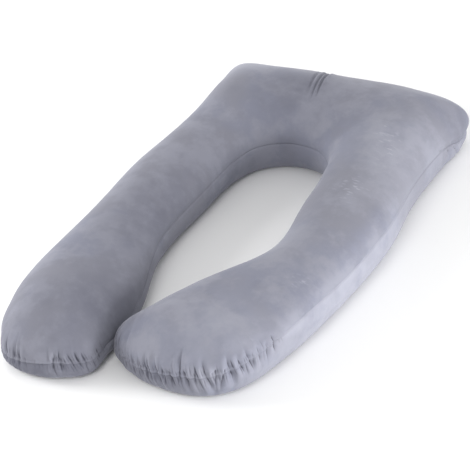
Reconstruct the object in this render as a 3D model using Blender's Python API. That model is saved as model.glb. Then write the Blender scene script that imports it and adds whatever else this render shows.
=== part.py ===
"""U-shaped body pillow: one filled cushion of cloth, lying flat.

An upper and an under panel of the same outline are sewn together at one seam that runs all the
way round.  The cushion is built as a loft: ribs stand across the seam, each one a half section
of the cushion from its seam point to the spine that runs down the middle of the U.

Metres.  The floor is z = 0, the length lies along Y with the closed head end at +Y, and the two
legs lie side by side along X.  The origin is the middle of the base.
"""

import math
from collections import namedtuple

import bmesh
import bpy
from mathutils import Vector

NAME = "body_pillow"

# One row for each section across the cushion, from the end of the -X leg, round the head, to the
# end of the +X leg.  The seam crosses a section at its outer and its inner point.  Crown, rise_out
# and rise_in are heights above the floor: of the middle, and of the seam at those two points.
# Ribs is how many stand from this section to the next.
Section = namedtuple("Section", "outer_x outer_y inner_x inner_y crown rise_out rise_in ribs")
SECTIONS = (
    Section(-0.379, -0.511, -0.073, -0.507, 0.168, 0.061, 0.043, 8),
    Section(-0.389, -0.400, -0.089, -0.400, 0.165, 0.066, 0.058, 6),
    Section(-0.379, -0.191, -0.150, -0.190, 0.166, 0.075, 0.078, 8),
    Section(-0.382, 0.080, -0.153, 0.080, 0.170, 0.084, 0.087, 7),
    Section(-0.361, 0.300, -0.146, 0.230, 0.178, 0.089, 0.091, 4),
    Section(-0.358, 0.385, -0.140, 0.257, 0.181, 0.090, 0.092, 4),
    Section(-0.355, 0.539, -0.122, 0.305, 0.208, 0.092, 0.095, 5),
    Section(-0.349, 0.670, -0.079, 0.350, 0.208, 0.092, 0.095, 7),
    Section(-0.245, 0.691, -0.043, 0.367, 0.205, 0.091, 0.095, 8),
    Section(-0.102, 0.705, -0.020, 0.370, 0.203, 0.092, 0.095, 20),
    Section(-0.007, 0.708, -0.007, 0.370, 0.201, 0.093, 0.095, 10),
    Section(0.233, 0.713, 0.028, 0.366, 0.198, 0.088, 0.095, 8),
    Section(0.356, 0.692, 0.065, 0.352, 0.197, 0.056, 0.095, 6),
    Section(0.367, 0.628, 0.087, 0.333, 0.197, 0.048, 0.092, 6),
    Section(0.363, 0.540, 0.105, 0.310, 0.195, 0.074, 0.090, 9),
    Section(0.366, 0.280, 0.123, 0.230, 0.176, 0.095, 0.090, 7),
    Section(0.388, 0.080, 0.135, 0.080, 0.167, 0.103, 0.088, 8),
    Section(0.377, -0.165, 0.148, -0.165, 0.163, 0.099, 0.087, 8),
    Section(0.353, -0.360, 0.038, -0.360, 0.165, 0.105, 0.091, 10),
    Section(0.329, -0.465, -0.023, -0.470, 0.160, 0.098, 0.081, 0),
)

# Past the last section of a leg the ribs fan out from the end of its spine.  Bearing is counted
# in degrees from the leg's outer side round its tip to the inner side, reach is how far the seam
# stands from the end of the spine, and rise is its height above the floor.
FanRow = namedtuple("FanRow", "bearing reach rise")
LEFT_FAN = (
    FanRow(22.5, 0.153, 0.051),
    FanRow(45.0, 0.173, 0.045),
    FanRow(67.5, 0.198, 0.042),
    FanRow(90.0, 0.207, 0.051),
    FanRow(112.5, 0.213, 0.062),
    FanRow(135.0, 0.207, 0.051),
    FanRow(157.5, 0.162, 0.050),
)
RIGHT_FAN = (
    FanRow(22.5, 0.170, 0.095),
    FanRow(45.0, 0.174, 0.085),
    FanRow(67.5, 0.178, 0.072),
    FanRow(90.0, 0.180, 0.069),
    FanRow(112.5, 0.188, 0.058),
    FanRow(135.0, 0.210, 0.048),
    FanRow(157.5, 0.236, 0.060),
)
LEFT_ROW_RIBS = 12    # ribs from one row of the left fan to the next
RIGHT_ROW_RIBS = 18    # closer, for the deep tucks of that end

# A tuck is a pucker in the gathered cloth: a groove that crosses the seam, with a soft ridge on
# either side.  Place is measured along the seam from its mark, towards +X.  Up and down are how
# far it runs over the upper and the under panel, and lean is how far it strays towards +X for
# each metre that it climbs.
Tuck = namedtuple("Tuck", "mark place width depth up down lean")
TUCKS = (
    Tuck("right", -0.152, 0.006, 0.004, 0.045, 0.030, -0.50),
    Tuck("right", -0.129, 0.006, 0.003, 0.030, 0.025, -0.50),
    Tuck("right", -0.108, 0.006, 0.004, 0.035, 0.030, -0.50),
    Tuck("right", -0.086, 0.006, 0.004, 0.030, 0.030, -0.90),
    Tuck("right", -0.079, 0.006, 0.005, 0.055, 0.035, -0.55),
    Tuck("right", -0.056, 0.007, 0.008, 0.055, 0.050, -0.50),
    Tuck("right", -0.038, 0.006, 0.003, 0.035, 0.020, -0.30),
    Tuck("right", -0.018, 0.007, 0.005, 0.025, 0.050, -0.55),
    Tuck("right", 0.008, 0.006, 0.008, 0.080, 0.020, -0.10),
    Tuck("right", 0.023, 0.006, 0.007, 0.040, 0.050, -0.30),
    Tuck("right", 0.046, 0.007, 0.003, 0.040, 0.015, 0.00),
    Tuck("right", 0.074, 0.007, 0.009, 0.055, 0.065, -0.27),
    Tuck("right", 0.095, 0.010, 0.007, 0.025, 0.065, 0.00),
    Tuck("right", 0.116, 0.006, 0.003, 0.020, 0.055, 0.30),
    Tuck("right", 0.132, 0.008, 0.010, 0.045, 0.060, -0.15),
    Tuck("right", 0.160, 0.007, 0.005, 0.035, 0.045, -0.30),
    Tuck("right", 0.186, 0.007, 0.008, 0.040, 0.045, -0.20),
    Tuck("right", 0.214, 0.007, 0.003, 0.030, 0.040, 0.00),
    Tuck("right", 0.241, 0.007, 0.004, 0.020, 0.055, 0.10),
    Tuck("right", 0.268, 0.008, 0.006, 0.030, 0.040, 0.10),
    Tuck("left", -0.068, 0.007, 0.003, 0.050, 0.020, 0.00),
    Tuck("left", -0.034, 0.007, 0.004, 0.055, 0.020, 0.00),
    Tuck("left", -0.018, 0.006, 0.004, 0.055, 0.020, 0.00),
    Tuck("left", 0.078, 0.007, 0.006, 0.045, 0.030, 0.10),
    Tuck("left", 0.096, 0.007, 0.007, 0.050, 0.030, -0.10),
    Tuck("left", 0.125, 0.007, 0.004, 0.040, 0.015, -0.30),
    Tuck("left", 0.142, 0.006, 0.005, 0.045, 0.015, -0.30),
    Tuck("left", 0.158, 0.006, 0.004, 0.040, 0.015, -0.30),
    Tuck("left", 0.201, 0.009, 0.004, 0.035, 0.020, -0.20),
    Tuck("head", 0.505, 0.009, 0.006, 0.015, 0.070, 1.00),
    Tuck("head", 0.540, 0.010, 0.006, 0.020, 0.060, 0.50),
    Tuck("head", 0.575, 0.009, 0.003, 0.015, 0.050, 0.00),
)

# A crease is a straight furrow in the upper panel, from its start to its end as seen from above.
Crease = namedtuple("Crease", "start_x start_y end_x end_y width depth")
CREASES = (
    Crease(-0.067, 0.734, -0.012, 0.444, 0.0045, 0.006),
    Crease(-0.056, 0.724, -0.001, 0.454, 0.0045, 0.006),
    Crease(-0.067, 0.659, -0.031, 0.469, 0.0060, 0.003),
    Crease(-0.014, -0.516, -0.008, -0.636, 0.0050, 0.006),
    Crease(-0.011, -0.516, -0.031, -0.601, 0.0050, 0.004),
)

# A swell is where the filling pushes the upper panel out past the seam.  Reach is how far it runs
# along the seam to either side of its place, climb is how far above the seam it stands out most,
# and height is how far it stands out there.
Swell = namedtuple("Swell", "mark place reach climb height")
SWELLS = (
    Swell("head", 0.405, 0.110, 0.035, 0.017),
)

UPPER_ROUNDNESS = 1.85    # exponent of the upper panel's profile, where 2 is an ellipse
UPPER_RINGS = (7, 16, 27, 40, 55, 72, 90)    # degrees round the upper profile
UNDER_RINGS = (22, 48, 90)    # degrees round the under profile
UNDER_INSET = 0.045    # from the seam in to the line where the under panel meets the floor
UNDER_BULGE = 0.010    # how far the under panel stands out past the seam
SEAM_DRAW = 0.004    # how far the stitching draws the seam in
RIDGE = 0.35    # height of the ridges beside a groove against its depth
RIDGE_PLACE = 1.8    # from a groove to the ridges beside it, in widths of the groove
MERGE = 0.00005    # the ribs of the two sides meet at the spine, and are joined there

COLOUR = (0.255, 0.260, 0.325, 1.0)
ROUGHNESS = 0.95

Rib = namedtuple("Rib", "seam spine")


def smooth_point(points, position, closed):
    """The point that far along a smooth curve through these points."""
    count = len(points)
    index = int(position) if closed else min(int(position), count - 2)
    part = position - index

    def point(number):
        if closed:
            return points[number % count]
        if number < 0:
            return 2 * points[0] - points[1]
        if number >= count:
            return 2 * points[-1] - points[-2]
        return points[number]

    def slope(number):
        back = point(number) - point(number - 1)
        ahead = point(number + 1) - point(number)
        weighted = back / back.length * ahead.length + ahead / ahead.length * back.length
        return weighted / (back.length + ahead.length)

    start = point(index)
    end = point(index + 1)
    span = (end - start).length
    ease = part * part * (3 - 2 * part)
    leave = part * (1 - part) ** 2 * span
    arrive = part * part * (1 - part) * span
    return start.lerp(end, ease) + slope(index) * leave - slope(index + 1) * arrive


def fan_points(section, fan, turn):
    """The seam points round the end of a leg.  Turn is 1 where they run clockwise, else -1."""
    outer_point = Vector((section.outer_x, section.outer_y))
    inner_point = Vector((section.inner_x, section.inner_y))
    outward = (outer_point - inner_point).normalized()
    ahead = Vector((outward.y, -outward.x)) * turn
    points = []
    for row in fan:
        bearing = math.radians(row.bearing)
        direction = outward * math.cos(bearing) + ahead * math.sin(bearing)
        level = (outer_point + inner_point) / 2 + direction * row.reach
        points.append(Vector((level.x, level.y, row.rise)))
    return points


def all_ribs():
    """Every rib in order round the seam, and the number of the rib at each mark."""
    count = len(SECTIONS)
    outer = [Vector((row.outer_x, row.outer_y, row.rise_out)) for row in SECTIONS]
    inner = [Vector((row.inner_x, row.inner_y, row.rise_in)) for row in SECTIONS]
    right_fan = fan_points(SECTIONS[-1], RIGHT_FAN, 1)
    left_fan = fan_points(SECTIONS[0], LEFT_FAN, -1)
    loop = outer + right_fan + inner[::-1] + left_fan[::-1]
    inner_start = count + len(right_fan)

    spine = []
    for row, outer_point, inner_point in zip(SECTIONS, outer, inner):
        middle = (outer_point + inner_point) / 2
        spine.append(Vector((middle.x, middle.y, row.crown)))

    stations = []
    for row, section in enumerate(SECTIONS):
        stations += [row + step / section.ribs for step in range(section.ribs)]
    stations.append(count - 1)

    outer_side = []
    inner_side = []
    for station in stations:
        outer_point = smooth_point(loop, station, True)
        inner_point = smooth_point(loop, inner_start + count - 1 - station, True)
        middle = (outer_point + inner_point) / 2
        middle.z = smooth_point(spine, station, False).z
        outer_side.append(Rib(outer_point, middle))
        inner_side.append(Rib(inner_point, middle))

    right_side = []
    for step in range(1, (len(right_fan) + 1) * RIGHT_ROW_RIBS):
        point = smooth_point(loop, count - 1 + step / RIGHT_ROW_RIBS, True)
        right_side.append(Rib(point, outer_side[-1].spine))
    left_side = []
    for step in range(1, (len(left_fan) + 1) * LEFT_ROW_RIBS):
        point = smooth_point(loop, inner_start + count - 1 + step / LEFT_ROW_RIBS, True)
        left_side.append(Rib(point, outer_side[0].spine))

    ribs = outer_side + right_side + inner_side[::-1] + left_side
    marks = {
        "head": stations.index(count // 2),
        "right": len(outer_side) + len(right_side) // 2,
        "left": len(ribs) - len(left_side) // 2 - 1,
    }
    return ribs, marks


def places_of(ribs, marks):
    """For each mark, how far every rib is from it along the seam, counted towards +X there."""
    steps = [(rib.seam - ribs[index - 1].seam).length for index, rib in enumerate(ribs)]
    whole = sum(steps)
    run = [sum(steps[1 : index + 1]) for index in range(len(ribs))]
    places = {}
    for mark, start in marks.items():
        towards_x = 1 if mark == "head" else -1
        places[mark] = [
            towards_x * ((at - run[start] + whole / 2) % whole - whole / 2) for at in run
        ]
    return places


def groove_shape(offset):
    """A groove with a soft ridge on either side, that many widths from its middle."""
    return math.exp(-(offset**2)) - RIDGE * math.exp(-((abs(offset) - RIDGE_PLACE) ** 2))


def tuck_depth(places, index, distance, upper):
    """How far the tucks press the cloth in at this rib, that far from the seam."""
    depth = 0.0
    for tuck in TUCKS:
        reach = tuck.up if upper else tuck.down
        if distance >= reach:
            continue
        climb = distance if upper else -distance
        offset = (places[tuck.mark][index] - tuck.place - tuck.lean * climb) / tuck.width
        depth += tuck.depth * groove_shape(offset) * math.cos(math.pi / 2 * distance / reach)
    return depth


def crease_depth(point):
    """How far the creases press the upper panel in at this point."""
    depth = 0.0
    for crease in CREASES:
        start = Vector((crease.start_x, crease.start_y))
        line = Vector((crease.end_x, crease.end_y)) - start
        from_start = point.xy - start
        along = from_start.dot(line) / line.length_squared
        if 0 < along < 1:
            offset = from_start.cross(line) / line.length / crease.width
            depth += crease.depth * groove_shape(offset) * math.sin(math.pi * along)
    return depth


def swell_height(places, index, distance):
    """How far the swells push the upper panel out at this rib, that far from the seam."""
    height = 0.0
    for swell in SWELLS:
        offset = (places[swell.mark][index] - swell.place) / swell.reach
        climb = distance / swell.climb
        height += swell.height * math.exp(-(offset**2)) * climb * math.exp(1 - climb)
    return height


def level_outward(rib):
    """The level direction from the spine out to the seam."""
    outward = rib.seam - rib.spine
    outward.z = 0
    return outward.normalized()


def upper_point(rib, degrees):
    """The point that far round the upper panel's profile, from the seam to the spine."""
    angle = math.radians(degrees)
    across = math.cos(angle) ** (2 / UPPER_ROUNDNESS)
    climb = math.sin(angle) ** (2 / UPPER_ROUNDNESS)
    point = rib.spine.lerp(rib.seam, across)
    point.z = rib.seam.z + (rib.spine.z - rib.seam.z) * climb
    return point


def under_point(rib, degrees):
    """The point that far round the under panel's profile, from the seam to the floor."""
    angle = math.radians(degrees)
    stand_out = UNDER_BULGE * math.sin(2 * angle) - UNDER_INSET * (1 - math.cos(angle))
    point = rib.seam + level_outward(rib) * stand_out
    point.z = rib.seam.z * (1 - math.sin(angle))
    return point


def panel_rings(ribs, places, rings, upper):
    """The rings of points of one panel, each with one point for every rib."""
    profile = upper_point if upper else under_point
    columns = []
    for index, rib in enumerate(ribs):
        before = rib.seam
        distance = 0.0
        column = []
        for degrees in rings:
            here = profile(rib, degrees)
            distance += (here - before).length
            before = here
            if upper and degrees < rings[-1]:
                here = here + level_outward(rib) * swell_height(places, index, distance)
            angle = math.radians(degrees)
            facing = level_outward(rib) * math.cos(angle)
            facing.z = math.sin(angle) if upper else -math.sin(angle)
            depth = crease_depth(here) if upper else 0.0
            if degrees < rings[-1]:
                depth += tuck_depth(places, index, distance, upper)
            column.append(here - facing * depth)
        columns.append(column)
    return list(zip(*columns))


def seam_ring(ribs, places):
    """The points of the seam, drawn in by the stitching, the tucks and the creases."""
    ring = []
    for index, rib in enumerate(ribs):
        draw = SEAM_DRAW + tuck_depth(places, index, 0.0, True) + crease_depth(rib.seam)
        ring.append(rib.seam - level_outward(rib) * draw)
    return ring


def extrude_rings(mesh, number, edges, rings):
    """Extrudes these edges from ring to ring, and sets each new vertex on its rib."""
    for ring in rings:
        made = bmesh.ops.extrude_edge_only(mesh, edges=edges)["geom"]
        for element in made:
            if isinstance(element, bmesh.types.BMVert):
                element.co = ring[element[number]]
        edges = [part for part in made if isinstance(part, bmesh.types.BMEdge) and part.is_boundary]


def build_pillow():
    ribs, marks = all_ribs()
    places = places_of(ribs, marks)
    floor_line = [Vector((rib.spine.x, rib.spine.y, 0)) for rib in ribs]
    mesh = bmesh.new()
    number = mesh.verts.layers.int.new("rib")
    circle = bmesh.ops.create_circle(mesh, segments=len(ribs), radius=1)["verts"]
    for index, point in enumerate(seam_ring(ribs, places)):
        circle[index][number] = index
        circle[index].co = point
    seam_edges = mesh.edges[:]
    extrude_rings(mesh, number, seam_edges, panel_rings(ribs, places, UPPER_RINGS, True))
    under_rings = panel_rings(ribs, places, UNDER_RINGS, False)
    extrude_rings(mesh, number, seam_edges, [*under_rings, floor_line])
    bmesh.ops.remove_doubles(mesh, verts=mesh.verts, dist=MERGE)
    bmesh.ops.recalc_face_normals(mesh, faces=mesh.faces)
    data = bpy.data.meshes.new(NAME)
    mesh.to_mesh(data)
    mesh.free()
    data.shade_smooth()
    return bpy.data.objects.new(NAME, data)


def cloth_material():
    material = bpy.data.materials.new("velvet_cloth")
    material.use_nodes = True
    shader = material.node_tree.nodes["Principled BSDF"]
    shader.inputs["Base Color"].default_value = COLOUR
    shader.inputs["Roughness"].default_value = ROUGHNESS
    shader.inputs["Metallic"].default_value = 0.0
    material.diffuse_color = COLOUR
    return material


def main():
    for leftover in list(bpy.data.objects):
        bpy.data.objects.remove(leftover)
    collection = bpy.data.collections.new(NAME)
    bpy.context.scene.collection.children.link(collection)
    pillow = build_pillow()
    pillow.data.materials.append(cloth_material())
    collection.objects.link(pillow)


main()
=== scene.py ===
# %% [markdown]
# # A U-shaped body pillow in short velvet
#
# This lesson dresses one packed solid, a big U-shaped body pillow, as the real thing: a cover of
# short velvet, sewn from two panels with one gathered seam all the way round, and filled with
# loose fibre.  The solid already has the true outline, crown and main puckers.  What is missing
# is what the fingers feel: the seam itself, the fine gathers beside it, the soft lumps of the
# filling and the nap of the pile.
#
# The cells go in the order in which the piece is made: the frame and the camera, the shape, the
# simulated cloth, the finish, and last the floor and the lights.

# %% Load the packed solid
import math
import random
from collections import namedtuple

import bmesh
import bpy
import numpy as np
from mathutils import Matrix, Vector, noise


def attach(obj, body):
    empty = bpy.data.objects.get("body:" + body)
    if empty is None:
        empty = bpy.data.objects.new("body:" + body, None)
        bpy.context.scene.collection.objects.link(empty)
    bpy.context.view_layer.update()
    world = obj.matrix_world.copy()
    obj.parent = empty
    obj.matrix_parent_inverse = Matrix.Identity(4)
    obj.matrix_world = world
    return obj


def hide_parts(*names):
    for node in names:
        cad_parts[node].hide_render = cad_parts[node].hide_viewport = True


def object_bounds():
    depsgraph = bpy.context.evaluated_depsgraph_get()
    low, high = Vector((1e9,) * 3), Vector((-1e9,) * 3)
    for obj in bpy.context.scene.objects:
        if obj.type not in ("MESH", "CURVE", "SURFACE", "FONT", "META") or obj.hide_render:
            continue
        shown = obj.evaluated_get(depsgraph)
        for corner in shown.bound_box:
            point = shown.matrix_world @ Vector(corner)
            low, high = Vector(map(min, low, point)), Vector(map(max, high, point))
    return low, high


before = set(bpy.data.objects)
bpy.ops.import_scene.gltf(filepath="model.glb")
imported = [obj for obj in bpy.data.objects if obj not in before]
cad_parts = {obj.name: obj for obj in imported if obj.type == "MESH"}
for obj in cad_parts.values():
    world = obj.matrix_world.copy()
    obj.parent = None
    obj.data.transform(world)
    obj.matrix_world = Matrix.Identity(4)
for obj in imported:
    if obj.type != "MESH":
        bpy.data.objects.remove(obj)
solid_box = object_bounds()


def millimetres(length):
    """A length in metres, as rounded millimetres to print."""
    return round(float(length) * 1000, 1)


low, high = solid_box
print("solid spans", [millimetres(high[side] - low[side]) for side in range(3)], "mm")

# %% [markdown]
# ## The camera
#
# The view looks down along the pillow from in front of its leg ends and a little to their right,
# through a fairly long lens, and it is rolled a little.  A camera could be aimed with a Track To
# constraint, which cannot roll.  Here its three axes are worked out from the bearing, the height
# and the roll, and become the columns of its matrix.

# %% Aim the camera
VIEW_BEARING = math.radians(29.909)
VIEW_HEIGHT = math.radians(33.348)
VIEW_ROLL = math.radians(-4.824)
VIEW_DISTANCE = 4.5
VIEW_TARGET = Vector((0.0183, -0.0798, 0.08))
LENS_MM = 133.1


def aim_camera():
    back = Vector((
        math.sin(VIEW_BEARING) * math.cos(VIEW_HEIGHT),
        -math.cos(VIEW_BEARING) * math.cos(VIEW_HEIGHT),
        math.sin(VIEW_HEIGHT),
    ))
    level = Vector((math.cos(VIEW_BEARING), math.sin(VIEW_BEARING), 0))
    rise = back.cross(level)
    right = level * math.cos(VIEW_ROLL) + rise * math.sin(VIEW_ROLL)
    up = rise * math.cos(VIEW_ROLL) - level * math.sin(VIEW_ROLL)
    axes = Matrix((right, up, back)).transposed().to_4x4()
    camera = bpy.data.objects.new("camera", bpy.data.cameras.new("camera"))
    camera.matrix_world = Matrix.Translation(VIEW_TARGET + back * VIEW_DISTANCE) @ axes
    camera.data.sensor_width = 36
    camera.data.lens = LENS_MM
    bpy.context.scene.collection.objects.link(camera)
    bpy.context.scene.camera = camera
    return camera


camera = aim_camera()
print("camera stands at", [round(value, 2) for value in camera.matrix_world.translation], "m")

# %% [markdown]
# ## The outline of the pillow
#
# The cover is two panels of the same U-shaped outline, so the whole shape follows from one closed
# line, the seam, and from the spine that runs down the middle of the U.  Both could be drawn as
# curves and lofted by hand.  Here short tables carry them, the same ones as in the solid: a row
# for each section across the pillow, and a row for each step round the end of a leg.  A smooth
# curve through the rows gives as many ribs as the mesh needs.

# %% The sections of the pillow
Section = namedtuple("Section", "outer_x outer_y inner_x inner_y crown rise_out rise_in ribs")
SECTIONS = (
    Section(-0.379, -0.511, -0.073, -0.507, 0.168, 0.061, 0.043, 16),
    Section(-0.389, -0.400, -0.089, -0.400, 0.165, 0.066, 0.058, 8),
    Section(-0.379, -0.191, -0.150, -0.190, 0.166, 0.075, 0.078, 12),
    Section(-0.382, 0.080, -0.153, 0.080, 0.170, 0.084, 0.087, 10),
    Section(-0.361, 0.300, -0.146, 0.230, 0.178, 0.089, 0.091, 6),
    Section(-0.358, 0.385, -0.140, 0.257, 0.181, 0.090, 0.092, 6),
    Section(-0.355, 0.539, -0.122, 0.305, 0.208, 0.092, 0.095, 14),
    Section(-0.349, 0.670, -0.079, 0.350, 0.208, 0.092, 0.095, 18),
    Section(-0.245, 0.691, -0.043, 0.367, 0.205, 0.091, 0.095, 12),
    Section(-0.102, 0.705, -0.020, 0.370, 0.203, 0.092, 0.095, 24),
    Section(-0.007, 0.708, -0.007, 0.370, 0.201, 0.093, 0.095, 18),
    Section(0.233, 0.713, 0.028, 0.366, 0.198, 0.088, 0.095, 20),
    Section(0.356, 0.692, 0.065, 0.352, 0.197, 0.056, 0.095, 12),
    Section(0.367, 0.628, 0.087, 0.333, 0.197, 0.048, 0.092, 12),
    Section(0.363, 0.540, 0.105, 0.310, 0.195, 0.074, 0.090, 14),
    Section(0.366, 0.280, 0.123, 0.230, 0.176, 0.095, 0.090, 10),
    Section(0.388, 0.080, 0.135, 0.080, 0.167, 0.103, 0.088, 11),
    Section(0.377, -0.165, 0.148, -0.165, 0.163, 0.099, 0.087, 14),
    Section(0.353, -0.360, 0.038, -0.360, 0.165, 0.105, 0.091, 20),
    Section(0.329, -0.465, -0.023, -0.470, 0.160, 0.098, 0.081, 0),
)

FanRow = namedtuple("FanRow", "bearing reach rise")
LEFT_FAN = (
    FanRow(22.5, 0.153, 0.051),
    FanRow(45.0, 0.173, 0.045),
    FanRow(67.5, 0.198, 0.042),
    FanRow(90.0, 0.207, 0.051),
    FanRow(112.5, 0.213, 0.062),
    FanRow(135.0, 0.207, 0.051),
    FanRow(157.5, 0.162, 0.050),
)
RIGHT_FAN = (
    FanRow(22.5, 0.170, 0.095),
    FanRow(45.0, 0.174, 0.085),
    FanRow(67.5, 0.178, 0.072),
    FanRow(90.0, 0.180, 0.069),
    FanRow(112.5, 0.188, 0.058),
    FanRow(135.0, 0.210, 0.048),
    FanRow(157.5, 0.236, 0.060),
)
LEFT_ROW_RIBS = 32
RIGHT_ROW_RIBS = 46

print(len(SECTIONS), "sections and", len(LEFT_FAN) + len(RIGHT_FAN), "fan rows")

# %% [markdown]
# ## Ribs
#
# A rib stands across the seam: it starts at a point of the seam and ends at the spine.  The seam
# runs down the outer points, round one leg's end, back along the inner points and round the other
# end.  The curve through the rows is a Hermite curve whose slopes weigh both neighbours by their
# distance, so that it stays smooth where the rows change their spacing.

# %% A smooth curve through the rows
Rib = namedtuple("Rib", "seam spine")


def smooth_point(points, position, closed):
    """The point that far along a smooth curve through these points."""
    count = len(points)
    index = int(position) if closed else min(int(position), count - 2)
    part = position - index

    def point(number):
        if closed:
            return points[number % count]
        if number < 0:
            return 2 * points[0] - points[1]
        if number >= count:
            return 2 * points[-1] - points[-2]
        return points[number]

    def slope(number):
        back = point(number) - point(number - 1)
        ahead = point(number + 1) - point(number)
        weighted = back / back.length * ahead.length + ahead / ahead.length * back.length
        return weighted / (back.length + ahead.length)

    start = point(index)
    end = point(index + 1)
    span = (end - start).length
    ease = part * part * (3 - 2 * part)
    leave = part * (1 - part) ** 2 * span
    arrive = part * part * (1 - part) * span
    return start.lerp(end, ease) + slope(index) * leave - slope(index + 1) * arrive


def fan_points(section, fan, turn):
    """The seam points round the end of a leg.  Turn is 1 where they run clockwise, else -1."""
    outer_point = Vector((section.outer_x, section.outer_y))
    inner_point = Vector((section.inner_x, section.inner_y))
    outward = (outer_point - inner_point).normalized()
    ahead = Vector((outward.y, -outward.x)) * turn
    points = []
    for row in fan:
        bearing = math.radians(row.bearing)
        direction = outward * math.cos(bearing) + ahead * math.sin(bearing)
        level = (outer_point + inner_point) / 2 + direction * row.reach
        points.append(Vector((level.x, level.y, row.rise)))
    return points


print("fan rows stand", RIGHT_FAN[0].bearing, "degrees apart")


# %% All the ribs in order round the seam
def all_ribs():
    """Every rib in order round the seam, and the number of the rib at each mark."""
    count = len(SECTIONS)
    outer = [Vector((row.outer_x, row.outer_y, row.rise_out)) for row in SECTIONS]
    inner = [Vector((row.inner_x, row.inner_y, row.rise_in)) for row in SECTIONS]
    right_fan = fan_points(SECTIONS[-1], RIGHT_FAN, 1)
    left_fan = fan_points(SECTIONS[0], LEFT_FAN, -1)
    loop = outer + right_fan + inner[::-1] + left_fan[::-1]
    inner_start = count + len(right_fan)
    spine = []
    for row, outer_point, inner_point in zip(SECTIONS, outer, inner):
        middle = (outer_point + inner_point) / 2
        spine.append(Vector((middle.x, middle.y, row.crown)))
    stations = []
    for row, section in enumerate(SECTIONS):
        stations += [row + step / section.ribs for step in range(section.ribs)]
    stations.append(count - 1)
    outer_side = []
    inner_side = []
    for station in stations:
        outer_point = smooth_point(loop, station, True)
        inner_point = smooth_point(loop, inner_start + count - 1 - station, True)
        middle = (outer_point + inner_point) / 2
        middle.z = smooth_point(spine, station, False).z
        outer_side.append(Rib(outer_point, middle))
        inner_side.append(Rib(inner_point, middle))
    right_side = []
    for step in range(1, (len(right_fan) + 1) * RIGHT_ROW_RIBS):
        point = smooth_point(loop, count - 1 + step / RIGHT_ROW_RIBS, True)
        right_side.append(Rib(point, outer_side[-1].spine))
    left_side = []
    for step in range(1, (len(left_fan) + 1) * LEFT_ROW_RIBS):
        point = smooth_point(loop, inner_start + count - 1 + step / LEFT_ROW_RIBS, True)
        left_side.append(Rib(point, outer_side[0].spine))
    ribs = outer_side + right_side + inner_side[::-1] + left_side
    marks = {
        "head": stations.index(count // 2),
        "right": len(outer_side) + len(right_side) // 2,
        "left": len(ribs) - len(left_side) // 2 - 1,
    }
    return ribs, marks


ribs, marks = all_ribs()
print(len(ribs), "ribs; marks at", marks)

# %% [markdown]
# ## Places on the cover
#
# Every pucker is gathered into the seam, so it is easiest to say where it lies by its place along
# the seam and by how far it climbs from there.  Places are measured in metres from three marks:
# the middle of the head end, and the middle of the end of each leg.

# %% Measure along the seam
def places_of(ribs, marks):
    """For each mark, how far every rib is from it along the seam, counted towards +X there."""
    points = np.array([rib.seam for rib in ribs])
    steps = np.linalg.norm(points - np.roll(points, 1, axis=0), axis=1)
    whole = steps.sum()
    run = np.cumsum(steps) - steps[0]
    places = {}
    for mark, start in marks.items():
        towards_x = 1 if mark == "head" else -1
        places[mark] = towards_x * ((run - run[start] + whole / 2) % whole - whole / 2)
    return places


places = places_of(ribs, marks)
print("seam runs", round(float(np.ptp(places["head"])), 3), "m round the pillow")

# %% [markdown]
# ## Puckers, creases and swells
#
# A pucker is a groove across the seam with a soft ridge on either side.  Each could be sculpted
# with a crease brush, but a row of a table is easier to move and to check.  The strong ones are in
# the solid too, and keep its table.  So do the straight creases, three in the head end and two
# beside the end of the bent leg, and the swell of one corner, where the filling pushes the upper
# panel out past the seam.

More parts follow.
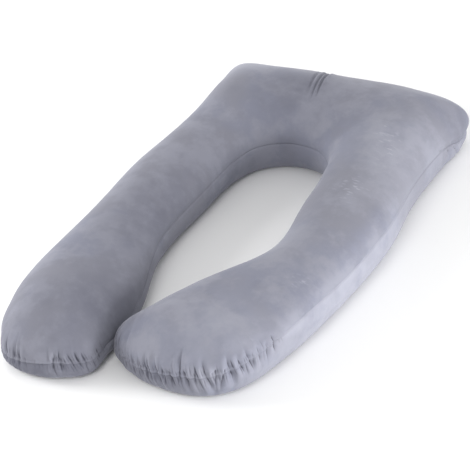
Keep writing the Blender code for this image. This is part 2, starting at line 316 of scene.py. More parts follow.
# %% Tables shared with the solid
Tuck = namedtuple("Tuck", "mark place width depth up down lean")
TUCKS = (
    Tuck("right", -0.152, 0.006, 0.004, 0.045, 0.030, -0.50),
    Tuck("right", -0.129, 0.006, 0.003, 0.030, 0.025, -0.50),
    Tuck("right", -0.108, 0.006, 0.004, 0.035, 0.030, -0.50),
    Tuck("right", -0.086, 0.006, 0.004, 0.030, 0.030, -0.90),
    Tuck("right", -0.079, 0.006, 0.005, 0.055, 0.035, -0.55),
    Tuck("right", -0.056, 0.007, 0.008, 0.055, 0.050, -0.50),
    Tuck("right", -0.038, 0.006, 0.003, 0.035, 0.020, -0.30),
    Tuck("right", -0.018, 0.007, 0.005, 0.025, 0.050, -0.55),
    Tuck("right", 0.008, 0.006, 0.008, 0.080, 0.020, -0.10),
    Tuck("right", 0.023, 0.006, 0.007, 0.040, 0.050, -0.30),
    Tuck("right", 0.046, 0.007, 0.003, 0.040, 0.015, 0.00),
    Tuck("right", 0.074, 0.007, 0.009, 0.055, 0.065, -0.27),
    Tuck("right", 0.095, 0.010, 0.007, 0.025, 0.065, 0.00),
    Tuck("right", 0.116, 0.006, 0.003, 0.020, 0.055, 0.30),
    Tuck("right", 0.132, 0.008, 0.010, 0.045, 0.060, -0.15),
    Tuck("right", 0.160, 0.007, 0.005, 0.035, 0.045, -0.30),
    Tuck("right", 0.186, 0.007, 0.008, 0.040, 0.045, -0.20),
    Tuck("right", 0.214, 0.007, 0.003, 0.030, 0.040, 0.00),
    Tuck("right", 0.241, 0.007, 0.004, 0.020, 0.055, 0.10),
    Tuck("right", 0.268, 0.008, 0.006, 0.030, 0.040, 0.10),
    Tuck("left", -0.068, 0.007, 0.003, 0.050, 0.020, 0.00),
    Tuck("left", -0.034, 0.007, 0.004, 0.055, 0.020, 0.00),
    Tuck("left", -0.018, 0.006, 0.004, 0.055, 0.020, 0.00),
    Tuck("left", 0.078, 0.007, 0.006, 0.045, 0.030, 0.10),
    Tuck("left", 0.096, 0.007, 0.007, 0.050, 0.030, -0.10),
    Tuck("left", 0.125, 0.007, 0.004, 0.040, 0.015, -0.30),
    Tuck("left", 0.142, 0.006, 0.005, 0.045, 0.015, -0.30),
    Tuck("left", 0.158, 0.006, 0.004, 0.040, 0.015, -0.30),
    Tuck("left", 0.201, 0.009, 0.004, 0.035, 0.020, -0.20),
    Tuck("head", 0.505, 0.009, 0.006, 0.015, 0.070, 1.00),
    Tuck("head", 0.540, 0.010, 0.006, 0.020, 0.060, 0.50),
    Tuck("head", 0.575, 0.009, 0.003, 0.015, 0.050, 0.00),
)

Crease = namedtuple("Crease", "start_x start_y end_x end_y width depth")
CREASES = (
    Crease(-0.067, 0.734, -0.012, 0.444, 0.0045, 0.006),
    Crease(-0.056, 0.724, -0.001, 0.454, 0.0045, 0.006),
    Crease(-0.067, 0.659, -0.031, 0.469, 0.0060, 0.003),
    Crease(-0.014, -0.516, -0.008, -0.636, 0.0050, 0.006),
    Crease(-0.011, -0.516, -0.031, -0.601, 0.0050, 0.004),
)

Swell = namedtuple("Swell", "mark place reach climb height")
SWELLS = (
    Swell("head", 0.405, 0.110, 0.035, 0.017),
)

RIDGE = 0.35
RIDGE_PLACE = 1.8
print(len(TUCKS), "strong tucks,", len(CREASES), "creases and", len(SWELLS), "swell")

# %% [markdown]
# ## Fine gathers
#
# Between the strong tucks the thread draws up a row of fine gathers, a few millimetres wide, so
# they are in this mesh alone.  A noise texture could ruffle the cloth there, but its bumps would
# run every way, and gathers all start at the seam and run off it.  So each stretch of gathered
# seam has a row, and a seeded count of small tucks is strewn along it, evenly but not regularly.
# A strong tuck also folds over on itself along its middle, which is one more small tuck there.

# %% Strew the fine gathers
Gathers = namedtuple("Gathers", "mark start end count length lean")
GATHERS = (
    Gathers("right", -0.230, -0.060, 36, 0.044, -0.45),
    Gathers("right", -0.060, 0.060, 22, 0.036, -0.25),
    Gathers("right", 0.060, 0.190, 16, 0.032, -0.15),
    Gathers("right", 0.190, 0.300, 9, 0.032, 0.10),
    Gathers("left", -0.150, -0.010, 24, 0.062, 0.00),
    Gathers("left", -0.010, 0.060, 5, 0.022, -0.10),
    Gathers("left", 0.060, 0.108, 10, 0.036, -0.10),
    Gathers("left", 0.108, 0.180, 13, 0.042, -0.30),
    Gathers("left", 0.180, 0.260, 9, 0.034, -0.30),
    Gathers("head", 0.440, 0.600, 9, 0.022, 0.50),
    Gathers("head", -0.420, -0.300, 6, 0.020, 0.00),
)
GATHER_SEED = 5
PLACE_SHARES = (0.1, 0.9)
GATHER_WIDTHS = (0.0016, 0.0034)
DEPTH_SHARES = (0.30, 0.75)
UP_SHARES = (0.35, 1.3)
DOWN_SHARES = (0.50, 1.5)
LEAN_SPREAD = (-0.12, 0.12)
CORE_WIDTH = 0.0021
CORE_DEPTH = 0.0016
CORE_REACH = 0.8


def strew_gathers():
    """Small tucks along every gathered stretch, the same ones each time."""
    chance = random.Random(GATHER_SEED)
    tucks = []
    for row in GATHERS:
        spacing = (row.end - row.start) / row.count
        for number in range(row.count):
            place = row.start + spacing * (number + chance.uniform(*PLACE_SHARES))
            width = chance.uniform(*GATHER_WIDTHS)
            depth = width * chance.uniform(*DEPTH_SHARES)
            up = row.length * chance.uniform(*UP_SHARES)
            down = row.length * chance.uniform(*DOWN_SHARES)
            lean = row.lean + chance.uniform(*LEAN_SPREAD)
            tucks.append(Tuck(row.mark, place, width, depth, up, down, lean))
    return tuple(tucks)


def tuck_core(tuck):
    """The sharp line down the middle of a strong tuck."""
    up = tuck.up * CORE_REACH
    down = tuck.down * CORE_REACH
    return tuck._replace(width=CORE_WIDTH, depth=CORE_DEPTH, up=up, down=down)


fine_tucks = strew_gathers() + tuple(tuck_core(tuck) for tuck in TUCKS)
print(len(fine_tucks), "fine gathers")

# %% [markdown]
# ## How the cloth is pressed in
#
# The seam holds two thicknesses of cloth and its thread, so it is stiffer than the panels and
# runs nearly straight through the tucks.  They are shallower right at the seam, and deepest a
# finger's width away from it.

# %% Press the tucks in
SEAM_HOLD = 0.6
SEAM_HOLD_REACH = 0.007


def groove_shape(offset):
    """A groove with a soft ridge on either side, that many widths from its middle."""
    return np.exp(-(offset**2)) - RIDGE * np.exp(-((np.abs(offset) - RIDGE_PLACE) ** 2))


def tuck_reach(tuck, distances, upper):
    """How many widths each point is from the tuck, and how much of the tuck is left there."""
    climb = distances if upper else -distances
    reach = tuck.up if upper else tuck.down
    offsets = (places[tuck.mark][:, None] - tuck.place - tuck.lean * climb) / tuck.width
    return offsets, np.cos(np.pi / 2 * np.clip(distances / reach, 0, 1))


def seam_hold(distances):
    """The share of a tuck that the stiff seam leaves, by distance from it."""
    return 1 - SEAM_HOLD * np.exp(-((distances / SEAM_HOLD_REACH) ** 2))


def tuck_depths(distances, upper):
    """How far the tucks press each point in.  Distances from the seam have a row for each rib."""
    depths = np.zeros_like(distances)
    for tuck in TUCKS + fine_tucks:
        offsets, fade = tuck_reach(tuck, distances, upper)
        depths += tuck.depth * groove_shape(offsets) * fade
    return depths * seam_hold(distances)


print("the seam leaves", round(float(seam_hold(0.0)), 2), "of a tuck's depth")

# %% Shade the folds, and press the creases and the swell
SHADE_NARROWING = 1.5


def fold_shade(distances, upper):
    """How much painted shade each point gets, from 0 on the open panel to 1 deep in a groove."""
    shade = np.zeros_like(distances)
    for tuck in fine_tucks:
        offsets, fade = tuck_reach(tuck, distances, upper)
        shade += tuck.depth / tuck.width * np.exp(-((offsets * SHADE_NARROWING) ** 2)) * fade
    return (shade * seam_hold(distances)).clip(0, 1)


def crease_depths(points):
    """How far the creases press each point of the upper panel in."""
    depths = np.zeros(points.shape[:-1])
    for crease in CREASES:
        line = np.array([crease.end_x - crease.start_x, crease.end_y - crease.start_y])
        length = np.linalg.norm(line)
        from_start = points[..., :2] - np.array([crease.start_x, crease.start_y])
        along = from_start @ line / length**2
        cross = (from_start[..., 0] * line[1] - from_start[..., 1] * line[0]) / length
        fade = np.sin(np.pi * np.clip(along, 0, 1))
        depths += crease.depth * groove_shape(cross / crease.width) * fade
    return depths


def swell_heights(distances):
    """How far the swells push each point of the upper panel out past the seam."""
    heights = np.zeros_like(distances)
    for swell in SWELLS:
        offsets = (places[swell.mark][:, None] - swell.place) / swell.reach
        climb = distances / swell.climb
        heights += swell.height * np.exp(-(offsets**2)) * climb * np.exp(1 - climb)
    return heights


deepest = max(crease.depth for crease in CREASES)
print("creases are up to", millimetres(deepest), "mm deep")

# %% [markdown]
# ## The two profiles
#
# From the seam the upper panel climbs to the spine along a superellipse that is a little flatter
# than an ellipse.  The under panel turns in under the seam and settles flat on the floor.  The
# rings of the mesh stand close together at the seam, where the gathers are, and spread out
# towards the spine and under the base.  Subdividing the whole mesh instead would spend most of
# its faces on the smooth crown.

# %% Space the rings
UPPER_RING_COUNT = 32
UNDER_RING_COUNT = 20
UPPER_CROWDING = 1.6
UNDER_CROWDING = 1.3


def ring_angles(count, crowding):
    """Angles from just off the seam to 90 degrees, crowded towards the seam."""
    return np.pi / 2 * (np.arange(1, count + 1) / count) ** crowding


print(UPPER_RING_COUNT, "rings above the seam and", UNDER_RING_COUNT, "below it")

# %% Points of a panel
UPPER_ROUNDNESS = 1.85
UNDER_INSET = 0.045
UNDER_BULGE = 0.010


def panel_points(ribs, upper):
    """Points of a panel by rib and ring, the way each faces and its distance from the seam."""
    seam = np.array([rib.seam for rib in ribs])
    spine = np.array([rib.spine for rib in ribs])
    outward = seam - spine
    outward[:, 2] = 0
    outward /= np.linalg.norm(outward, axis=1)[:, None]
    count, crowding = (
        (UPPER_RING_COUNT, UPPER_CROWDING) if upper else (UNDER_RING_COUNT, UNDER_CROWDING)
    )
    angles = ring_angles(count, crowding)
    cosine = np.cos(angles).clip(0, 1)
    sine = np.sin(angles)
    if upper:
        across = cosine ** (2 / UPPER_ROUNDNESS)
        climb = sine ** (2 / UPPER_ROUNDNESS)
        points = spine[:, None] + (seam - spine)[:, None] * across[None, :, None]
        points[..., 2] = seam[:, None, 2] + (spine - seam)[:, None, 2] * climb
    else:
        stand_out = UNDER_BULGE * np.sin(2 * angles) - UNDER_INSET * (1 - cosine)
        points = seam[:, None] + outward[:, None] * stand_out[None, :, None]
        points[..., 2] = seam[:, None, 2] * (1 - sine)
    facing = outward[:, None] * cosine[None, :, None]
    facing[..., 2] = sine if upper else -sine
    whole = np.concatenate([seam[:, None], points], axis=1)
    distances = np.cumsum(np.linalg.norm(np.diff(whole, axis=1), axis=2), axis=1)
    if upper:
        points[:, :-1] += outward[:, None] * swell_heights(distances)[:, :-1, None]
    return points, facing, distances


print("under panel turns in by", millimetres(UNDER_INSET), "mm")

# %% Shape both panels and the seam
SEAM_DRAW = 0.004


def seam_points(ribs):
    """The seam itself, drawn in by its thread, the tucks and the creases."""
    seam = np.array([rib.seam for rib in ribs])
    outward = seam - np.array([rib.spine for rib in ribs])
    outward[:, 2] = 0
    outward /= np.linalg.norm(outward, axis=1)[:, None]
    depths = tuck_depths(np.zeros((len(ribs), 1)), True)[:, 0] + crease_depths(seam)
    return seam - outward * (SEAM_DRAW + depths)[:, None]


upper_points, upper_facing, upper_distance = panel_points(ribs, True)
upper_depth = tuck_depths(upper_distance, True)
upper_depth[:, -1] = 0
upper_depth += crease_depths(upper_points)
upper_rings = upper_points - upper_facing * upper_depth[..., None]

under_points, under_facing, under_distance = panel_points(ribs, False)
under_depth = tuck_depths(under_distance, False)
under_depth[:, -1] = 0
under_rings = under_points - under_facing * under_depth[..., None]

upper_shade = fold_shade(upper_distance, True)
under_shade = fold_shade(under_distance, False)

print("upper panel climbs", round(float(upper_distance.max()), 3), "m from the seam")
print("deepest tuck", millimetres(upper_depth.max()), "mm")

# %% [markdown]
# ## Sew the rings into one closed cover
#
# The mesh starts as a flat grid with a column for each rib and a row for each ring, from below the
# spine, out under the base, up past the seam and over the top to the spine again.  Every vertex is
# moved to its place on its rib.  One column more than there are ribs lies on the first column, and
# the ribs of both sides end at the same points of the spine, so merging doubles closes the cover.
# Extruding the seam ring by ring would give the same faces, but in another order on each run, and
# the simulated folds would change with it.  Two layers remember each vertex's rib and ring, for
# the simulation and the finish.

# %% Wrap a grid round the pillow
BASE_RING_COUNT = 3
MERGE_DISTANCE = 0.00005


def base_rings(edge_ring, ribs):
    """Rings across the flat base, from the under panel's last ring in to below the spine."""
    spine = np.array([(rib.spine.x, rib.spine.y, 0) for rib in ribs])
    parts = np.arange(1, BASE_RING_COUNT + 1) / BASE_RING_COUNT
    return edge_ring[:, None] + (spine - edge_ring)[:, None] * parts[None, :, None]


def build_cover():
    under = np.concatenate([under_rings, base_rings(under_rings[:, -1], ribs)], axis=1)
    columns = np.concatenate([under[:, ::-1], seam_points(ribs)[:, None], upper_rings], axis=1)
    row_count = columns.shape[1]
    mesh = bmesh.new()
    rib_layer = mesh.verts.layers.int.new("rib")
    ring_layer = mesh.verts.layers.int.new("ring")
    bmesh.ops.create_grid(mesh, x_segments=row_count - 1, y_segments=len(ribs), size=1)
    for number, vertex in enumerate(mesh.verts):
        rib = number // row_count % len(ribs)
        row = number % row_count
        vertex.co = columns[rib, row]
        vertex[rib_layer] = rib
        vertex[ring_layer] = row - under.shape[1]
    bmesh.ops.remove_doubles(mesh, verts=mesh.verts, dist=MERGE_DISTANCE)
    bmesh.ops.recalc_face_normals(mesh, faces=mesh.faces)
    data = bpy.data.meshes.new("pillow_cover")
    mesh.to_mesh(data)
    mesh.free()
    data.shade_smooth()
    cover = bpy.data.objects.new("pillow_cover", data)
    bpy.context.scene.collection.objects.link(cover)
    return cover


cover = build_cover()
rib_of = np.empty(len(cover.data.vertices), int)
ring_of = np.empty(len(cover.data.vertices), int)
cover.data.attributes["rib"].data.foreach_get("value", rib_of)
cover.data.attributes["ring"].data.foreach_get("value", ring_of)
print("cover has", len(cover.data.vertices), "vertices and", len(cover.data.polygons), "faces")

# %% [markdown]
# ## Let the filling push the cloth
#
# Gathers look real when cloth makes them.  The seam of a real cover is shorter than the panels
# sewn into it, and the filling pushes the spare cloth out into small folds.  Sculpting them by
# hand is slow and looks drawn.  So the cover gets a short cloth simulation: pressure from inside,
# no gravity, the base held still, and a gather group that shortens the cloth along the seam, most
# at the leg ends.  The tucks of the last step are already there, so the folds start at their
# places.

# %% Groups that hold the base and gather the seam
EVEN_GATHER = 0.15
END_GATHER = 1.2
GATHERED_END = 0.30
GATHER_REACH = 0.020
WELL_GATHERED = 0.5
WEIGHT_STEPS = 20


def gather_along():
    """How much each rib's stretch of seam is gathered, up to 1 at the leg ends."""
    along = np.full(len(ribs), EVEN_GATHER)
    for mark in ("left", "right"):
        along = np.maximum(along, END_GATHER - (places[mark] / GATHERED_END) ** 2)
    return along.clip(0, 1)


def distance_of(rib, ring):
    """How far each vertex is from the seam, over the cloth."""
    upper = upper_distance[rib, (ring - 1).clip(0, UPPER_RING_COUNT - 1)]
    under = under_distance[rib, (-ring - 1).clip(0, UNDER_RING_COUNT - 1)]
    return np.where(ring > 0, upper, np.where(ring < 0, under, 0.0))


def weight_group(name, weights):
    """A vertex group with these weights, each rounded to a few steps so that it fills quickly."""
    group = cover.vertex_groups.new(name=name)
    steps = np.round(weights * WEIGHT_STEPS).astype(int)
    for step in range(1, WEIGHT_STEPS + 1):
        group.add(np.flatnonzero(steps == step).tolist(), step / WEIGHT_STEPS, "REPLACE")


held = (ring_of <= -UNDER_RING_COUNT).astype(float)
along_seam = gather_along()
gathered = along_seam[rib_of] * np.exp(-((distance_of(rib_of, ring_of) / GATHER_REACH) ** 2))
weight_group("held", held)
weight_group("gathered", gathered)
print(int(held.sum()), "vertices are held on the floor")
print(int((gathered > WELL_GATHERED).sum()), "vertices are well gathered")


# %% Run the cloth for twenty frames
FRAME_COUNT = 20


def coordinates(mesh):
    points = np.empty(len(mesh.vertices) * 3)
    mesh.vertices.foreach_get("co", points)
    return points.reshape(-1, 3)


def simulate_cover():
    """Runs the cloth, and gives back where every vertex has gone."""
    cloth = cover.modifiers.new("filling", "CLOTH")
    settings = cloth.settings
    settings.quality = 5
    settings.mass = 0.25
    settings.air_damping = 4.0
    settings.tension_stiffness = 60
    settings.compression_stiffness = 30
    settings.shear_stiffness = 15
    settings.bending_stiffness = 0.1
    settings.use_pressure = True
    settings.uniform_pressure_force = 0.5
    settings.vertex_group_mass = "held"
    settings.vertex_group_shrink = "gathered"
    settings.shrink_min = 0.0
    settings.shrink_max = 0.06
    settings.effector_weights.gravity = 0
    cloth.collision_settings.use_collision = False
    scene = bpy.context.scene
    for frame_number in range(1, FRAME_COUNT + 1):
        scene.frame_set(frame_number)
    graph = bpy.context.evaluated_depsgraph_get()
    evaluated = cover.evaluated_get(graph)
    result = evaluated.to_mesh()
    points = coordinates(result)
    evaluated.to_mesh_clear()
    cover.modifiers.remove(cloth)
    scene.frame_set(1)
    return points


start = coordinates(cover.data)
pushed = simulate_cover()
travel = np.linalg.norm(pushed - start, axis=1)
print("cloth moved up to", millimetres(travel.max()), "mm")

# %% [markdown]
# ## Keep the folds, not the swelling
#
# Pressure also swells the whole pillow, and its outline is already right.  The slow part of the
# movement is the swelling and the quick part is the folds.  Averaging each vertex's movement with
# its neighbours' many times leaves the slow part, and taking that away leaves the folds.  A cap
# stops a stray vertex, and the base stays flat on the floor.

# %% Take the slow movement away
SLOW_REACH = 0.040
STEP_REACH = 0.003


def edge_ends(mesh):
    ends = np.empty(len(mesh.edges) * 2, int)
    mesh.edges.foreach_get("vertices", ends)
    return ends.reshape(-1, 2).T


def slow_part(values, points, ends):
    """The part of the values that changes over more than SLOW_REACH, by letting them spread."""
    first, second = ends
    count = len(values)
    lengths = np.linalg.norm(points[first] - points[second], axis=1)
    pull = np.minimum(1, (STEP_REACH / lengths) ** 2)
    most = np.bincount(first, pull, count) + np.bincount(second, pull, count)
    pull = pull / most.max()
    step = STEP_REACH**2 / most.max()
    rounds = int(SLOW_REACH**2 / (2 * step))
    for _ in range(rounds):
        flow = pull[:, None] * (values[second] - values[first])
        for axis in range(values.shape[1]):
            values[:, axis] += np.bincount(first, flow[:, axis], count)
            values[:, axis] -= np.bincount(second, flow[:, axis], count)
    return values


movement = pushed - start
swelling = slow_part(movement.copy(), start, edge_ends(cover.data))
print("swelling moves the cloth up to", millimetres(np.abs(swelling).max()), "mm on an axis")

# %% Keep the folds beside the gathered seam
MOVE_CAP = 0.003
FOLD_REACH = 0.050
SEAM_CALM = 0.010
TINY_LENGTH = 1e-9


def fold_zone():
    """Where folds are kept: beside the gathered parts of the seam, but not at the seam itself."""
    distance = distance_of(rib_of, ring_of)
    near = np.exp(-((distance / FOLD_REACH) ** 2)) - np.exp(-((distance / SEAM_CALM) ** 2))
    return along_seam[rib_of] * near


folds = (movement - swelling) * fold_zone()[:, None]
length = np.linalg.norm(folds, axis=1)
folds *= (MOVE_CAP * np.tanh(length / MOVE_CAP) / np.maximum(length, TINY_LENGTH))[:, None]
shaped = start + folds * (1 - held)[:, None]
print("folds move the cloth up to", millimetres(length.max()), "mm before the cap")

# %% [markdown]
# ## Soft lumps and the seam line
#
# Loose fibre never fills a cover evenly, so the surface has faint broad lumps.  A displacement
# modifier with a clouds texture would do it, but a noise read at each vertex keeps the flat base
# still.  Last, the thread pulls the seam a little further in, so that a fine line shows where
# the panels meet.

# %% Lumps and seam line
Lump = namedtuple("Lump", "size height")
LUMPS = (
    Lump(0.160, 0.0012),
    Lump(0.045, 0.0005),
)
SEAM_LINE = 0.0015


def vertex_normals(mesh):
    normals = np.empty(len(mesh.vertices) * 3)
    mesh.vertices.foreach_get("normal", normals)
    return normals.reshape(-1, 3)


cover.data.vertices.foreach_set("co", shaped.ravel())
cover.data.update()
normals = vertex_normals(cover.data)
lift = np.zeros(len(shaped))
for lump in LUMPS:
    lift += [lump.height * noise.noise(Vector(point) / lump.size) for point in shaped]
lift *= 1 - held
lift[ring_of == 0] -= SEAM_LINE
shaped = shaped + normals * lift[:, None]
shaped[:, 2] = np.where(ring_of <= -UNDER_RING_COUNT, 0.0, np.maximum(shaped[:, 2], 0.0))
cover.data.vertices.foreach_set("co", shaped.ravel())
cover.data.update()
print("lumps lift the cloth by up to", millimetres(np.abs(lift).max()), "mm")

cover.vertex_groups.clear()

# %% [markdown]
# ## Which way the nap lies, and painted light and shade
#
# Velvet shows every stroke across it.  Where the pile has been laid away from the eye it looks
# darker, where it has been laid towards the eye it looks lighter, and where it has been crushed
# it keeps small pale marks.  The soft patches here are partly such strokes of the nap and partly
# painted shade and painted light: the dark ones on the middle of the head end and on the left leg
# are painted shadow, and others lighten or darken places as the light falls on them.  On the
# under panel they are all painted light and shade, lighter on its +X side and darker at the leg
# ends.  The cloth inside a tight fold and along the seam is painted darker, as painted shade,
# because little light reaches it.  Painting a texture would fix that to a picture, so each patch
# is a row instead, a soft oval on the pillow as seen from above, and noise breaks up its edge
# later.  Vertex attributes carry the nap, the painted light and shade and the painted fold shade
# into the material.

# %% Lay the nap and the painted light and shade
Patch = namedtuple("Patch", "x y reach_x reach_y strength")
# Partly strokes of the nap, partly painted light and shade; the dark patches on the head end and
# the left leg are painted shadow.
NAP_AND_PAINTED_LIGHT_PATCHES = (
    Patch(-0.080, 0.500, 0.130, 0.120, -0.80),
    Patch(-0.270, 0.600, 0.100, 0.090, 0.90),
    Patch(0.370, 0.620, 0.080, 0.080, -0.70),
    Patch(-0.190, -0.130, 0.080, 0.200, -0.80),
    Patch(-0.120, -0.540, 0.100, 0.130, -0.90),
    Patch(0.190, -0.540, 0.150, 0.110, 0.45),
    Patch(0.250, 0.350, 0.080, 0.110, 0.40),
    Patch(0.190, -0.150, 0.090, 0.140, 0.30),
    Patch(0.300, 0.200, 0.060, 0.160, 0.35),
)
# Painted light and shade on the under panel: lighter on its +X side, darker at the leg ends.
UNDER_PAINTED_LIGHT_PATCHES = (
    Patch(0.360, -0.200, 0.120, 0.400, 0.60),
    Patch(-0.230, -0.700, 0.250, 0.120, -1.00),
    Patch(0.150, -0.720, 0.150, 0.070, -0.90),
)
CRUSHED = (
    Patch(0.245, 0.380, 0.045, 0.035, 1.00),
    Patch(0.285, 0.310, 0.040, 0.050, 1.00),
    Patch(0.270, 0.120, 0.040, 0.060, 1.00),
    Patch(0.310, -0.290, 0.025, 0.030, 0.60),
)


def patch_sum(strokes, points):
    """The sum of the patches at each point, clamped to -1..1."""
    total = np.zeros(len(points))
    for stroke in strokes:
        across = (points[:, 0] - stroke.x) / stroke.reach_x
        along = (points[:, 1] - stroke.y) / stroke.reach_y
        total += stroke.strength * np.exp(-(across**2) - along**2)
    return total.clip(-1, 1)


# Negative values are nap and painted shade, positive values are nap and painted light.
nap_and_painted_tone = np.where(ring_of > 0, patch_sum(NAP_AND_PAINTED_LIGHT_PATCHES, shaped), patch_sum(UNDER_PAINTED_LIGHT_PATCHES, shaped))
print("nap runs from", round(float(nap_and_painted_tone.min()), 2), "to", round(float(nap_and_painted_tone.max()), 2))

# %% Write the nap, the painted light and shade, and the painted fold shade on the vertices
# Painted shade along the seam line: every seam vertex gets at least this much.
SEAM_SHADE = 0.62


def fold_shadow_at(rib, ring):
    """How much painted shade each vertex gets, from the grooves of both panels and along the seam.
    """
    upper = upper_shade[rib, (ring - 1).clip(0, UPPER_RING_COUNT - 1)]
    under = under_shade[rib, (-ring - 1).clip(0, UNDER_RING_COUNT - 1)]
    panels = np.where(ring > 0, upper, np.where(ring >= -UNDER_RING_COUNT, under, 0.0))
    return np.where(ring == 0, np.maximum(panels, SEAM_SHADE), panels)


wear_and_painted_light = {
    "nap_and_painted_shade": -nap_and_painted_tone.clip(-1, 0),
    "nap_and_painted_light": nap_and_painted_tone.clip(0, 1),
    "crushed": patch_sum(CRUSHED, shaped) * (ring_of > 0),
    # The closed layer holds painted shade in the grooves of the folds and along the seam.
    "closed": fold_shadow_at(rib_of, ring_of),
}
for name, values in wear_and_painted_light.items():
    layer = cover.data.attributes.new(name, "FLOAT", "POINT")
    layer.data.foreach_set("value", values.astype(np.float32))
cover.data.attributes.remove(cover.data.attributes["rib"])
cover.data.attributes.remove(cover.data.attributes["ring"])
print("attributes:", ", ".join(wear_and_painted_light))

# %% [markdown]
# ## Short velvet
#
# The pile of velvet stands up, so the cloth has no gloss: it scatters light softly, and its edge
# glows a little where light grazes the tips of the fibres.  A matt base with a light sheen does
# that; a strong sheen would draw a white rim round the pillow.  Noises of several sizes mottle
# the colour between close tones; the nap with its painted light and shade, and the painted shade
# in the folds, push it further.  The pile itself is far finer than the mesh, so it is only a bump.

# %% Mix the velvet
VELVET = (0.210, 0.212, 0.250, 1.0)
VELVET_COOL = (0.202, 0.209, 0.260, 1.0)
VELVET_LIGHT = (0.245, 0.249, 0.294, 1.0)
VELVET_DARK = (0.140, 0.143, 0.178, 1.0)
VELVET_PALE = (0.350, 0.355, 0.410, 1.0)
# The colour of the painted shade in the folds and along the seam.
VELVET_PAINTED_SHADE = (0.080, 0.081, 0.104, 1.0)

Cloud = namedtuple("Cloud", "size detail roughness low high share colour")
CLOUDS = (
    Cloud(0.240, 2, 0.50, 0.44, 0.60, 1.0, VELVET_COOL),
    Cloud(0.130, 5, 0.65, 0.42, 0.60, 1.0, VELVET_LIGHT),
    Cloud(0.040, 5, 0.70, 0.50, 0.68, 0.5, VELVET_LIGHT),
    Cloud(0.080, 4, 0.60, 0.50, 0.68, 0.3, VELVET_DARK),
)
FINISH = {
    "Roughness": 0.95,
    "Metallic": 0.0,
    "Specular IOR Level": 0.1,
    "Sheen Weight": 0.25,
    "Sheen Roughness": 0.4,
    "Sheen Tint": (0.90, 0.91, 0.98, 1.0),
}
print(len(CLOUDS), "sizes of mottling")


# %% Helpers that add and join nodes
class Nodes:
    """Adds nodes to a material's tree and joins them."""

    def __init__(self, material):
        material.use_nodes = True
        self.tree = material.node_tree
        self.shader = self.tree.nodes["Principled BSDF"]

    def add(self, kind, **settings):
        node = self.tree.nodes.new(kind)
        for name, value in settings.items():
            setattr(node, name, value)
        return node

    def join(self, source, target):
        self.tree.links.new(source, target)

    def noise(self, size, detail, roughness, squeeze=(1.0, 1.0, 1.0)):
        """A noise with features of that size in metres, squeezed that much along each axis."""
        place = self.add("ShaderNodeTexCoord")
        stretch = self.add("ShaderNodeMapping")
        stretch.inputs["Scale"].default_value = squeeze
        self.join(place.outputs["Object"], stretch.inputs["Vector"])
        node = self.add("ShaderNodeTexNoise")
        node.inputs["Scale"].default_value = 1 / size
        node.inputs["Detail"].default_value = detail
        node.inputs["Roughness"].default_value = roughness
        self.join(stretch.outputs["Vector"], node.inputs["Vector"])
        return node.outputs["Fac"]

    def spread(self, value, low, high, to_low, to_high):
        """The value, stretched from low..high to to_low..to_high and clamped."""
        node = self.add("ShaderNodeMapRange", interpolation_type="SMOOTHSTEP")
        node.inputs["From Min"].default_value = low
        node.inputs["From Max"].default_value = high
        node.inputs["To Min"].default_value = to_low
        node.inputs["To Max"].default_value = to_high
        self.join(value, node.inputs["Value"])
        return node.outputs["Result"]

    def mix(self, share, first, second):
        """Two colours mixed by that share."""
        node = self.add("ShaderNodeMix", data_type="RGBA")
        self.join(share, node.inputs["Factor"])
        for value, socket in ((first, node.inputs[6]), (second, node.inputs[7])):
            if isinstance(value, tuple):
                socket.default_value = value
            else:
                self.join(value, socket)
        return node.outputs[2]

    def scale(self, value, share):
        """One value times another."""
        node = self.add("ShaderNodeMath", operation="MULTIPLY")
        self.join(value, node.inputs[0])
        self.join(share, node.inputs[1])
        return node.outputs[0]

    def attribute(self, name):
        return self.add("ShaderNodeAttribute", attribute_name=name).outputs["Fac"]


print("helpers:", [name for name in vars(Nodes) if not name.startswith("_")])


# %% Mottle, stroke and shade the velvet
# Each spread gives the lowest and highest value that counts, and what they become.
PATCH_EDGE_SIZE = 0.055
PATCH_EDGE_SPREAD = (0.25, 0.65, 0.45, 1.0)
MARK_SIZE = 0.022
MARK_SQUEEZE = (1.0, 2.4, 1.0)
MARK_SPREAD = (0.57, 0.70, 0.0, 0.8)
FOLD_SPREAD = (0.08, 0.68, 0.0, 0.85)
PILE_SIZE = 0.0016
PILE_HEIGHT = 0.0006
PILE_STRENGTH = 0.25


def velvet_tone(nodes):
    """The colour: mottled, then nap with painted light and shade, crushed marks, painted fold
    shade.
    """
    tone = VELVET
    for cloud in CLOUDS:
        pattern = nodes.noise(cloud.size, cloud.detail, cloud.roughness)
        tone = nodes.mix(
            nodes.spread(pattern, cloud.low, cloud.high, 0.0, cloud.share), tone, cloud.colour
        )
    ragged = nodes.spread(nodes.noise(PATCH_EDGE_SIZE, 4, 0.6), *PATCH_EDGE_SPREAD)
    # The nap with its painted shade darkens the tone, and the nap with its painted light lightens
    # it.
    for name, colour in (("nap_and_painted_shade", VELVET_DARK), ("nap_and_painted_light", VELVET_PALE)):
        tone = nodes.mix(nodes.scale(nodes.attribute(name), ragged), tone, colour)
    marks = nodes.spread(nodes.noise(MARK_SIZE, 2, 0.5, MARK_SQUEEZE), *MARK_SPREAD)
    tone = nodes.mix(nodes.scale(nodes.attribute("crushed"), marks), tone, VELVET_PALE)
    # Painted shade in the grooves of the folds and along the seam.
    painted_fold_shade = nodes.spread(nodes.attribute("closed"), *FOLD_SPREAD)
    return nodes.mix(painted_fold_shade, tone, VELVET_PAINTED_SHADE)


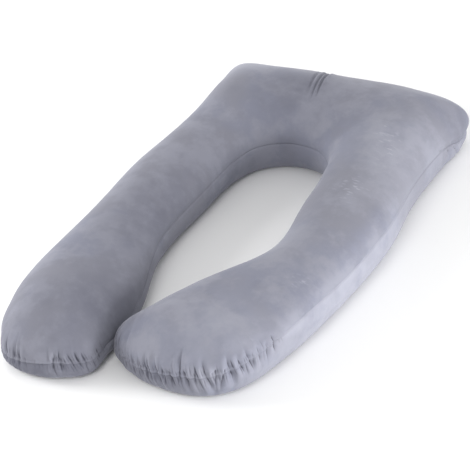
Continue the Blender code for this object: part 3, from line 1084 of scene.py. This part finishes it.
def velvet():
    material = bpy.data.materials.new("short_velvet")
    nodes = Nodes(material)
    shader = nodes.shader.inputs
    nodes.join(velvet_tone(nodes), shader["Base Color"])
    for name, value in FINISH.items():
        shader[name].default_value = value
    pile = nodes.add("ShaderNodeBump")
    pile.inputs["Strength"].default_value = PILE_STRENGTH
    pile.inputs["Distance"].default_value = PILE_HEIGHT
    nodes.join(nodes.noise(PILE_SIZE, 2, 0.6), pile.inputs["Height"])
    nodes.join(pile.outputs["Normal"], shader["Normal"])
    return material


cover.data.materials.clear()
cover.data.materials.append(velvet())
print("cover wears", cover.data.materials[0].name)

# %% [markdown]
# ## Floor, lights and the world
#
# The pillow lies on a plain pale floor under soft studio light.  The strongest softbox stands low
# on the +X side, so that it grazes the crown and brightens the under panel, with a weak one behind
# it.  One stands in front, two on the other side and one low at the back, and the pale world keeps
# the shadows open.  A single sun would be simpler, but its hard shadow would hide the gathers.

# %% Lay the floor
FLOOR_REACH = 12
FLOOR_COLOUR = (0.93, 0.93, 0.93, 1.0)


def lay_floor():
    mesh = bmesh.new()
    bmesh.ops.create_grid(mesh, x_segments=1, y_segments=1, size=FLOOR_REACH)
    data = bpy.data.meshes.new("floor")
    mesh.to_mesh(data)
    mesh.free()
    floor = bpy.data.objects.new("floor", data)
    material = bpy.data.materials.new("pale_floor")
    material.use_nodes = True
    shader = material.node_tree.nodes["Principled BSDF"].inputs
    shader["Base Color"].default_value = FLOOR_COLOUR
    shader["Roughness"].default_value = 0.9
    shader["Specular IOR Level"].default_value = 0.1
    data.materials.append(material)
    bpy.context.scene.collection.objects.link(floor)
    return floor


floor = lay_floor()
print("floor is", floor.dimensions[0], "m wide")


# %% Set up the lights
Softbox = namedtuple("Softbox", "name place aim size watts")
SOFTBOXES = (
    Softbox("side_softbox", (3.0, -0.4, 0.45), (0.2, 0.0, 0.05), 1.2, 97),
    Softbox("side_back_softbox", (2.6, 1.2, 0.6), (0.2, 0.2, 0.1), 1.2, 8),
    Softbox("front_softbox", (0.4, -3.0, 2.4), (0.0, -0.4, 0.1), 1.4, 40),
    Softbox("left_softbox", (-2.8, -1.2, 1.3), (0.0, -0.3, 0.1), 1.4, 56),
    Softbox("left_back_softbox", (-2.6, 1.4, 1.3), (0.0, 0.2, 0.1), 1.4, 36),
    Softbox("back_softbox", (0.3, 3.2, 0.9), (0.0, 0.2, 0.1), 1.6, 20),
)


def hang_softbox(box):
    light = bpy.data.lights.new(box.name, "AREA")
    light.size = box.size
    light.energy = box.watts
    lamp = bpy.data.objects.new(box.name, light)
    turn = (Vector(box.aim) - Vector(box.place)).to_track_quat("-Z", "Y").to_matrix().to_4x4()
    lamp.matrix_world = Matrix.Translation(box.place) @ turn
    bpy.context.scene.collection.objects.link(lamp)


for box in SOFTBOXES:
    hang_softbox(box)
    print(box.name, "gives", box.watts, "W")


# %% Light the world
WORLD_COLOUR = (1.0, 1.0, 1.0, 1.0)
WORLD_STRENGTH = 0.58

world = bpy.data.worlds.new("studio")
world.use_nodes = True
background = world.node_tree.nodes["Background"].inputs
background["Color"].default_value = WORLD_COLOUR
background["Strength"].default_value = WORLD_STRENGTH
bpy.context.scene.world = world
bpy.context.scene.view_settings.view_transform = "Standard"
print("world strength is", WORLD_STRENGTH)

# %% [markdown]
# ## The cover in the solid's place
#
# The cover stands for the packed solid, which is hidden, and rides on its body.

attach(cover, "root")
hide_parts("body_pillow")
